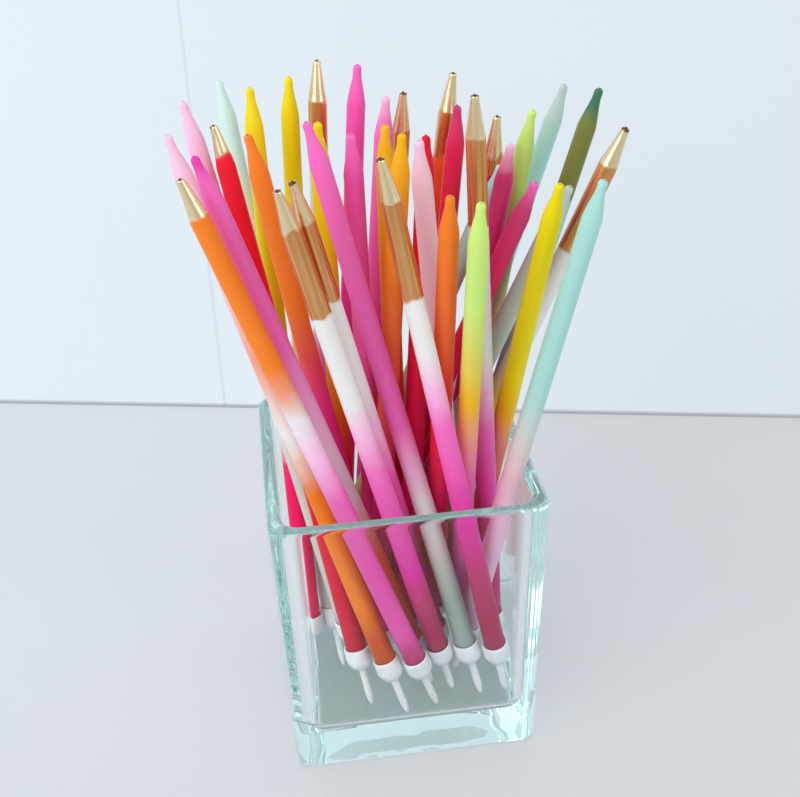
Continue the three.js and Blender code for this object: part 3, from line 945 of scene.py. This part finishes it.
def clear_glass():
    material, nodes, links, shader = new_material("clear_glass")
    shader.inputs["Base Color"].default_value = GLASS_COLOUR
    shader.inputs["Transmission Weight"].default_value = 1.0
    shader.inputs["Roughness"].default_value = 0.0
    shader.inputs["IOR"].default_value = GLASS_IOR
    shader.inputs["Specular Tint"].default_value = GLASS_REFLECTION
    add_bump(nodes, links, shader, ripple_in_base(nodes, links), RIPPLE_BUMP, RIPPLE_DEPTH)
    clear = nodes.new("ShaderNodeBsdfTransparent")
    clear.inputs["Color"].default_value = GLASS_SHADOW
    to_lamp = nodes.new("ShaderNodeLightPath").outputs["Is Shadow Ray"]
    surface = mix_shaders(nodes, links, to_lamp, shader.outputs[0], clear.outputs[0])
    tint = nodes.new("ShaderNodeVolumeAbsorption")
    tint.inputs["Color"].default_value = GLASS_TINT
    tint.inputs["Density"].default_value = TINT_DENSITY
    output = nodes["Material Output"]
    links.new(surface, output.inputs["Surface"])
    links.new(tint.outputs[0], output.inputs["Volume"])
    return material


finish_round(square_glass, clear_glass(), GLASS_SMOOTH_ANGLE)
flatten_panes(square_glass)
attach(square_glass, "glass")
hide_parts("glass")
print("glass", [round(value / MM, 1) for value in square_glass.dimensions], "mm")

# %% [markdown]
# ## Table and wall
# The bunch stands on a pale table in front of a white wall that is turned a little, as in the picture.
# Both are large planes on the stage. The table lies a hair below the glass, so that the two surfaces don't
# share one plane and flicker.

# %% Planes for table and wall
AIR_UNDER_GLASS = 0.08
STAGE_SIZE = 6
WALL_BEHIND = 172.8
WALL_TURN = math.radians(-13.1)
UPRIGHT = math.radians(90)


def flat_stage(name, location, turn):
    bpy.ops.object.select_all(action="DESELECT")
    bpy.ops.mesh.primitive_plane_add(size=STAGE_SIZE, location=location, rotation=turn)
    plane = bpy.context.object
    plane.name = name
    return plane


table = flat_stage("table", (0, 0, -AIR_UNDER_GLASS * MM), (0, 0, 0))
wall = flat_stage("wall", (0, WALL_BEHIND * MM, 0), (UPRIGHT, 0, WALL_TURN))
print("wall", WALL_BEHIND, "mm behind the middle of the glass")

# %% [markdown]
# ## Painted shade on table and wall, and a joint
# Where the bunch keeps the light off, the table is painted darker, and its near side gets painted shade
# too. The wall gets a thin painted shadow where it meets the table, and it shows a faint joint between two
# boards. Each of these is a distance in the plane's own coordinates, in metres, turned into a share of a
# darker colour, so it needs no picture.

# %% Painted shade on table and wall, and a joint
# Painted shade of the bunch on the table, and painted shade on its near side.
SHADE_COLOUR = "#a3adaf"
SHADED_HALF = 35.5
SHADE_BLUR = 6
NEAR_SHADE_COLOUR = "#b4b8bc"
NEAR_SIDE = (0.05, -0.28)
NEAR_SHADE_MOST = 0.3
# Colour of the painted shadow along the foot of the wall, and of the joint between two boards.
SHADOW_AND_JOINT_COLOUR = "#8f979c"
FOOT_SHADOW = (0.0008, 0.0024)
FOOT_SHADOW_MOST = 0.75
JOINT_PLACE = -0.0556
JOINT_HALF = (0.0003, 0.0009)
JOINT_MOST = 0.16


# Painted shade: darker in a square under the bunch, and towards the near side of the table.
def paint_table_shade(nodes, links, place, colour):
    sides = [calculate(nodes, links, "ABSOLUTE", place[axis]) for axis in ("X", "Y")]
    farthest = calculate(nodes, links, "MAXIMUM", *sides)
    shade = fade(nodes, links, farthest, (SHADED_HALF - SHADE_BLUR) * MM, SHADED_HALF * MM)
    colour = mix_colours(nodes, links, shade, colour, linear(SHADE_COLOUR))
    nearer_shade = map_range(nodes, links, place["Y"], *NEAR_SIDE, 0, NEAR_SHADE_MOST)
    return mix_colours(nodes, links, nearer_shade, colour, linear(NEAR_SHADE_COLOUR))


# A painted shadow along the foot of the wall, and a dark joint between two boards.
def paint_wall_shadow_and_joint(nodes, links, place, colour):
    foot_shadow = fade(nodes, links, place["Y"], *FOOT_SHADOW, FOOT_SHADOW_MOST)
    colour = mix_colours(nodes, links, foot_shadow, colour, linear(SHADOW_AND_JOINT_COLOUR))
    aside = calculate(nodes, links, "SUBTRACT", place["X"], JOINT_PLACE)
    from_joint = calculate(nodes, links, "ABSOLUTE", aside)
    joint = fade(nodes, links, from_joint, *JOINT_HALF, JOINT_MOST)
    return mix_colours(nodes, links, joint, colour, linear(SHADOW_AND_JOINT_COLOUR))


# %% [markdown]
# ## White without a stronger lamp
# A lamp strong enough to make the wall white would bleach the candles. So table and wall add part of their
# own colour as light, but only for rays that come from the camera, straight or through the glass. The
# candles get none of it. The wall is there only on the side that faces the bunch, so that the bunch can
# also be seen from the back.

# %% Table and wall material
# Each pair is a colour on the left and a darker one on the right: painted shade towards the right.
TABLE_LIT_AND_SHADED = ("#dce1e6", "#d6d8da")
TABLE_GLOW = 0.5
WALL_LIT_AND_SHADED = ("#e8f4fd", "#dde6ec")
WALL_GLOW = 0.8
LEFT_TO_RIGHT = (-0.25, 0.3)
STAGE_CLOUDS = 9
CLOUD_COLOUR = (0.6, 0.62, 0.66, 1)
CLOUD_MOST = 0.05
STAGE_ROUGHNESS = 0.7


def add_glow(nodes, links, shader, colour, own_light):
    glow = nodes.new("ShaderNodeEmission")
    links.new(colour, glow.inputs["Color"])
    path = nodes.new("ShaderNodeLightPath")
    seen = path.outputs["Is Camera Ray"]
    for kind in ("Is Glossy Ray", "Is Transmission Ray"):
        seen = calculate(nodes, links, "MAXIMUM", seen, path.outputs[kind])
    share = calculate(nodes, links, "MULTIPLY", seen, own_light)
    return mix_shaders(nodes, links, share, shader.outputs[0], glow.outputs[0])


def open_from_behind(nodes, links, front):
    behind = nodes.new("ShaderNodeNewGeometry").outputs["Backfacing"]
    clear = nodes.new("ShaderNodeBsdfTransparent")
    return mix_shaders(nodes, links, behind, front, clear.outputs[0])


def stage_material(name, colours, add_painted_shade_and_marks, own_light, one_sided=False):
    """A matt surface with painted shade, a little darker towards the right."""
    material, nodes, links, shader = new_material(name)
    cloud = add_noise(nodes, links, STAGE_CLOUDS, 3)
    place = split_place(nodes, links, cloud)
    # Painted shade: darker from left to right.
    across = map_range(nodes, links, place["X"], *LEFT_TO_RIGHT, 0, 1)
    colour = mix_colours(nodes, links, across, *map(linear, colours))
    colour = add_painted_shade_and_marks(nodes, links, place, colour)
    tone = vary(nodes, links, cloud.outputs["Fac"], 0, CLOUD_MOST)
    colour = mix_colours(nodes, links, tone, colour, CLOUD_COLOUR)
    links.new(colour, shader.inputs["Base Color"])
    shader.inputs["Roughness"].default_value = STAGE_ROUGHNESS
    surface = add_glow(nodes, links, shader, colour, own_light)
    if one_sided:
        surface = open_from_behind(nodes, links, surface)
    links.new(surface, nodes["Material Output"].inputs["Surface"])
    return material


table.data.materials.append(stage_material("table_top", TABLE_LIT_AND_SHADED, paint_table_shade, TABLE_GLOW))
wall.data.materials.append(stage_material("wall_paint", WALL_LIT_AND_SHADED, paint_wall_shadow_and_joint, WALL_GLOW, one_sided=True))
print("stage materials", table.data.materials[0].name, wall.data.materials[0].name)

# %% [markdown]
# ## Lamps
# The picture has the flat light of a bright room. A broad lamp to the left of the camera leads, and a
# second one fills from the right. Both are wide, so that their shadows stay soft.

# %% Lamps
LAMP_TARGET = Vector((0, 0, 0.1))
WINDOW = {"place": (-0.75, -0.55, 0.85), "size": 1.1, "power": 9.1, "colour": (1.0, 0.99, 0.97)}
FILL = {"place": (0.8, -0.7, 0.6), "size": 0.7, "power": 2.6, "colour": (0.98, 0.99, 1.0)}


def add_lamp(name, place, size, power, colour):
    bpy.ops.object.select_all(action="DESELECT")
    bpy.ops.object.light_add(type="AREA", location=place)
    lamp = bpy.context.object
    lamp.name = name
    lamp.data.size = size
    lamp.data.energy = power
    lamp.data.color = colour
    lamp.rotation_euler = (LAMP_TARGET - Vector(place)).to_track_quat("-Z", "Y").to_euler()


add_lamp("window", **WINDOW)
add_lamp("fill", **FILL)

# %% [markdown]
# ## The room around
# The world does the rest of the lighting. Where neither table nor wall is in view, the camera is shown a
# white room. That brighter colour is for the camera's rays only, so it adds no light.

# %% World
ROOM_COLOUR = (0.93, 0.96, 1.0, 1)
ROOM_LIGHT = 0.62
SEEN_COLOUR = (0.86, 0.9, 0.93, 1)
world = bpy.data.worlds.new("room")
bpy.context.scene.world = world
world.use_nodes = True
room = world.node_tree.nodes["Background"]
room.inputs["Color"].default_value = ROOM_COLOUR
room.inputs["Strength"].default_value = ROOM_LIGHT


def whiten_room(nodes, links):
    seen = nodes.new("ShaderNodeBackground")
    seen.inputs["Color"].default_value = SEEN_COLOUR
    to_camera = nodes.new("ShaderNodeLightPath").outputs["Is Camera Ray"]
    either = mix_shaders(nodes, links, to_camera, room.outputs[0], seen.outputs[0])
    links.new(either, nodes["World Output"].inputs["Surface"])


whiten_room(world.node_tree.nodes, world.node_tree.links)
print("room light", ROOM_LIGHT)
